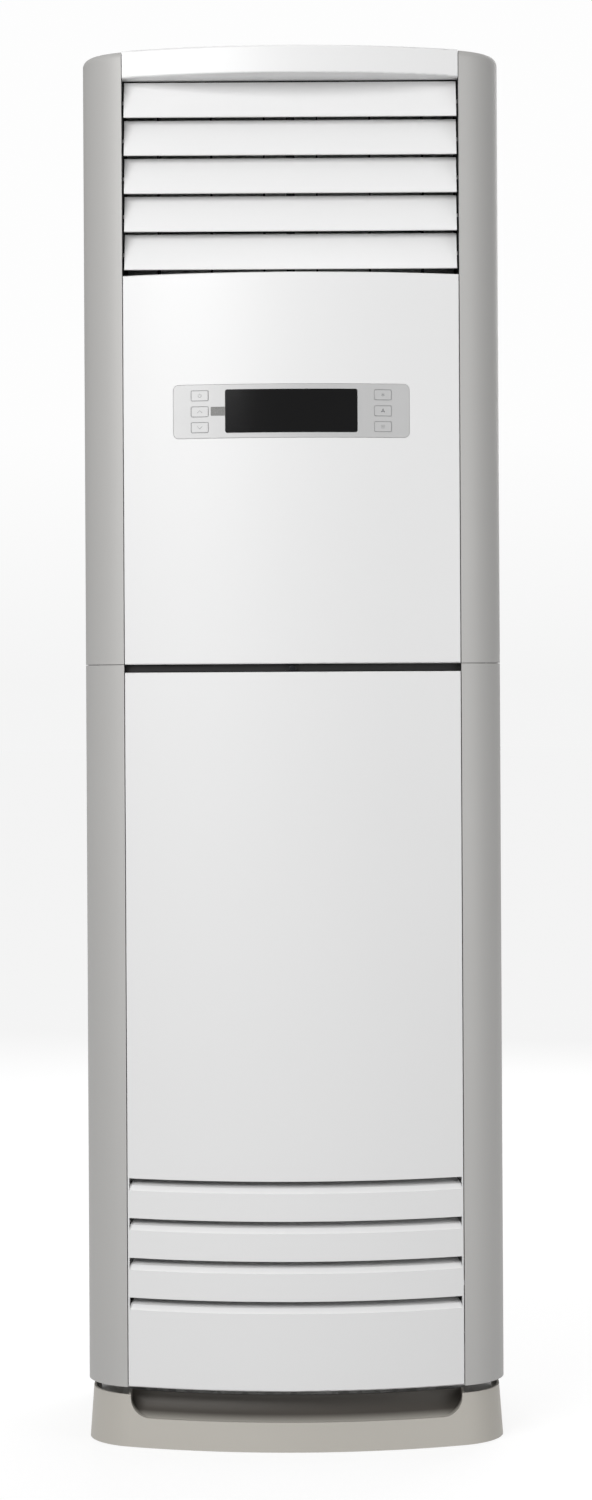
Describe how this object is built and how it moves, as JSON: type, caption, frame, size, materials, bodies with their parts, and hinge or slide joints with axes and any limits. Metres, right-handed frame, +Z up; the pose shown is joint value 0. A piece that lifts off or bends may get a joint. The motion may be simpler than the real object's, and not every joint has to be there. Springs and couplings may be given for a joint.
{
  "type": "floor standing air conditioner",
  "caption": "Tall cabinet indoor unit with turning outlet slats, swinging vanes, key panel, tilting intake panel, centrifugal fan, coil and flared plinth.",
  "frame": {"origin": "middle of the footprint, on the floor", "axes": "+Z up, the front faces -Y, +X is the right hand side seen from the front"},
  "size_m": [0.55, 0.418, 1.824],
  "materials": {
    "white_abs": "moulded white ABS, satin",
    "silver_trim": "silver grey lacquer on moulded trim",
    "warm_grey_plinth": "warm silver grey moulded ABS",
    "dark_plastic": "dark moulded plastic",
    "painted_steel": "powder coated sheet steel",
    "galvanised_steel": "galvanised sheet steel",
    "bezel_silver": "silver lacquered plastic",
    "smoked_lens": "smoked acrylic",
    "circuit_board": "solder masked board",
    "aluminium_fin": "thin rolled fins",
    "copper_tube": "drawn copper",
    "brass_nut": "turned brass",
    "grey_abs": "moulded grey plastic",
    "motor_case": "pressed and painted case",
    "steel_shaft": "bright steel",
    "filter_net": "woven nylon net in a moulded frame"
  },
  "bodies": {
    "cabinet": {"base_pan": "galvanised_steel", "base_plinth": "warm_grey_plinth", "cabinet_screws": "steel_shaft", "control_board": "circuit_board", "display_bezel": "bezel_silver", "display_board": "circuit_board", "display_lens": "smoked_lens", "drain_pan": "grey_abs", "duct_wall": "galvanised_steel", "electric_box": "galvanised_steel", "evaporator_end_plates": "galvanised_steel", "evaporator_fins": "aluminium_fin", "evaporator_tubes": "copper_tube", "fan_deck": "galvanised_steel", "fan_motor": "motor_case", "fan_scroll": "galvanised_steel", "flare_nuts": "brass_nut", "gas_pipe": "copper_tube", "inlet_ring": "galvanised_steel", "left_lower_trim": "silver_trim", "left_side_plate": "painted_steel", "left_upper_trim": "silver_trim", "liquid_pipe": "copper_tube", "mid_rail": "dark_plastic", "motor_bracket": "galvanised_steel", "outlet_frame": "dark_plastic", "outlet_header": "white_abs", "rear_plate": "galvanised_steel", "receiver_window": "smoked_lens", "right_lower_trim": "silver_trim", "right_side_plate": "painted_steel", "right_upper_trim": "silver_trim", "slat_motor": "motor_case", "top_cover": "painted_steel", "upper_front_panel": "white_abs", "vane_motor": "motor_case"},
    "fan_rotor": {"fan_wheel": "grey_abs", "motor_shaft": "steel_shaft", "fan_nut": "steel_shaft"},
    "lower_front_panel": {"lower_front_panel": "white_abs"},
    "air_filter": {"air_filter": "filter_net"},
    "slat_1": {"slat_1": "white_abs"},
    "slat_2": {"slat_2": "white_abs"},
    "slat_3": {"slat_3": "white_abs"},
    "slat_4": {"slat_4": "white_abs"},
    "slat_5": {"slat_5": "white_abs"},
    "slat_tie_bar": {"slat_tie_bar": "dark_plastic"},
    "vane_1": {"vane_1": "dark_plastic"},
    "vane_2": {"vane_2": "dark_plastic"},
    "vane_3": {"vane_3": "dark_plastic"},
    "vane_4": {"vane_4": "dark_plastic"},
    "vane_5": {"vane_5": "dark_plastic"},
    "vane_6": {"vane_6": "dark_plastic"},
    "vane_link": {"vane_link": "dark_plastic"},
    "key_1": {"key_1": "bezel_silver"},
    "key_2": {"key_2": "bezel_silver"},
    "key_3": {"key_3": "bezel_silver"},
    "key_4": {"key_4": "bezel_silver"},
    "key_5": {"key_5": "bezel_silver"},
    "key_6": {"key_6": "bezel_silver"}
  },
  "joints": [
    {"name": "fan_spin", "type": "hinge", "parent": "cabinet", "child": "fan_rotor", "pos_m": [-0.03, 0, 0.292], "axis": [0, -1, 0], "continuous": true},
    {"name": "panel_tilt", "type": "hinge", "parent": "cabinet", "child": "lower_front_panel", "pos_m": [0, -0.165, 0.086], "axis": [1, 0, 0], "range_deg": [0, 18]},
    {"name": "filter_slide", "type": "slide", "parent": "cabinet", "child": "air_filter", "axis": [0, 0, 1], "range_m": [0, 0.3]},
    {"name": "slat_3_turn", "type": "hinge", "parent": "cabinet", "child": "slat_3", "pos_m": [0, -0.14915, 1.6592], "axis": [-1, 0, 0], "range_deg": [0, 65]},
    {"name": "slat_1_turn", "type": "hinge", "parent": "cabinet", "child": "slat_1", "pos_m": [0, -0.14915, 1.7588], "axis": [-1, 0, 0], "range_deg": [0, 65]},
    {"name": "slat_2_turn", "type": "hinge", "parent": "cabinet", "child": "slat_2", "pos_m": [0, -0.14915, 1.709], "axis": [-1, 0, 0], "range_deg": [0, 65]},
    {"name": "slat_4_turn", "type": "hinge", "parent": "cabinet", "child": "slat_4", "pos_m": [0, -0.14915, 1.6094], "axis": [-1, 0, 0], "range_deg": [0, 65]},
    {"name": "slat_5_turn", "type": "hinge", "parent": "cabinet", "child": "slat_5", "pos_m": [0, -0.14915, 1.5596], "axis": [-1, 0, 0], "range_deg": [0, 65]},
    {"name": "tie_bar_turn", "type": "hinge", "parent": "slat_3", "child": "slat_tie_bar", "pos_m": [0.216, -0.11794, 1.67908], "axis": [-1, 0, 0], "range_deg": [-65, 0]},
    {"name": "vane_1_swing", "type": "hinge", "parent": "cabinet", "child": "vane_1", "pos_m": [-0.175, -0.085, 1.66], "axis": [0, 0, 1], "range_deg": [-40, 40]},
    {"name": "vane_2_swing", "type": "hinge", "parent": "cabinet", "child": "vane_2", "pos_m": [-0.105, -0.085, 1.66], "axis": [0, 0, 1], "range_deg": [-40, 40]},
    {"name": "vane_3_swing", "type": "hinge", "parent": "cabinet", "child": "vane_3", "pos_m": [-0.035, -0.085, 1.66], "axis": [0, 0, 1], "range_deg": [-40, 40]},
    {"name": "vane_4_swing", "type": "hinge", "parent": "cabinet", "child": "vane_4", "pos_m": [0.035, -0.085, 1.66], "axis": [0, 0, 1], "range_deg": [-40, 40]},
    {"name": "vane_5_swing", "type": "hinge", "parent": "cabinet", "child": "vane_5", "pos_m": [0.105, -0.085, 1.66], "axis": [0, 0, 1], "range_deg": [-40, 40]},
    {"name": "vane_6_swing", "type": "hinge", "parent": "cabinet", "child": "vane_6", "pos_m": [0.175, -0.085, 1.66], "axis": [0, 0, 1], "range_deg": [-40, 40]},
    {"name": "link_swing", "type": "hinge", "parent": "vane_1", "child": "vane_link", "pos_m": [-0.175, -0.068, 1.6], "axis": [0, 0, 1], "range_deg": [-40, 40]},
    {"name": "key_1_press", "type": "slide", "parent": "cabinet", "child": "key_1", "axis": [0, 1, 0], "range_m": [0, 0.0007], "stiffness_N_per_m": 2000},
    {"name": "key_2_press", "type": "slide", "parent": "cabinet", "child": "key_2", "axis": [0, 1, 0], "range_m": [0, 0.0007], "stiffness_N_per_m": 2000},
    {"name": "key_3_press", "type": "slide", "parent": "cabinet", "child": "key_3", "axis": [0, 1, 0], "range_m": [0, 0.0007], "stiffness_N_per_m": 2000},
    {"name": "key_4_press", "type": "slide", "parent": "cabinet", "child": "key_4", "axis": [0, 1, 0], "range_m": [0, 0.0007], "stiffness_N_per_m": 2000},
    {"name": "key_5_press", "type": "slide", "parent": "cabinet", "child": "key_5", "axis": [0, 1, 0], "range_m": [0, 0.0007], "stiffness_N_per_m": 2000},
    {"name": "key_6_press", "type": "slide", "parent": "cabinet", "child": "key_6", "axis": [0, 1, 0], "range_m": [0, 0.0007], "stiffness_N_per_m": 2000}
  ],
  "couplings": [
    {"joint": "slat_1_turn", "follows": "slat_3_turn", "ratio": 1},
    {"joint": "slat_2_turn", "follows": "slat_3_turn", "ratio": 1},
    {"joint": "slat_4_turn", "follows": "slat_3_turn", "ratio": 1},
    {"joint": "slat_5_turn", "follows": "slat_3_turn", "ratio": 1},
    {"joint": "tie_bar_turn", "follows": "slat_3_turn", "ratio": -1},
    {"joint": "vane_2_swing", "follows": "vane_1_swing", "ratio": 1},
    {"joint": "vane_3_swing", "follows": "vane_1_swing", "ratio": 1},
    {"joint": "vane_4_swing", "follows": "vane_1_swing", "ratio": 1},
    {"joint": "vane_5_swing", "follows": "vane_1_swing", "ratio": 1},
    {"joint": "vane_6_swing", "follows": "vane_1_swing", "ratio": 1},
    {"joint": "link_swing", "follows": "vane_1_swing", "ratio": -1}
  ]
}
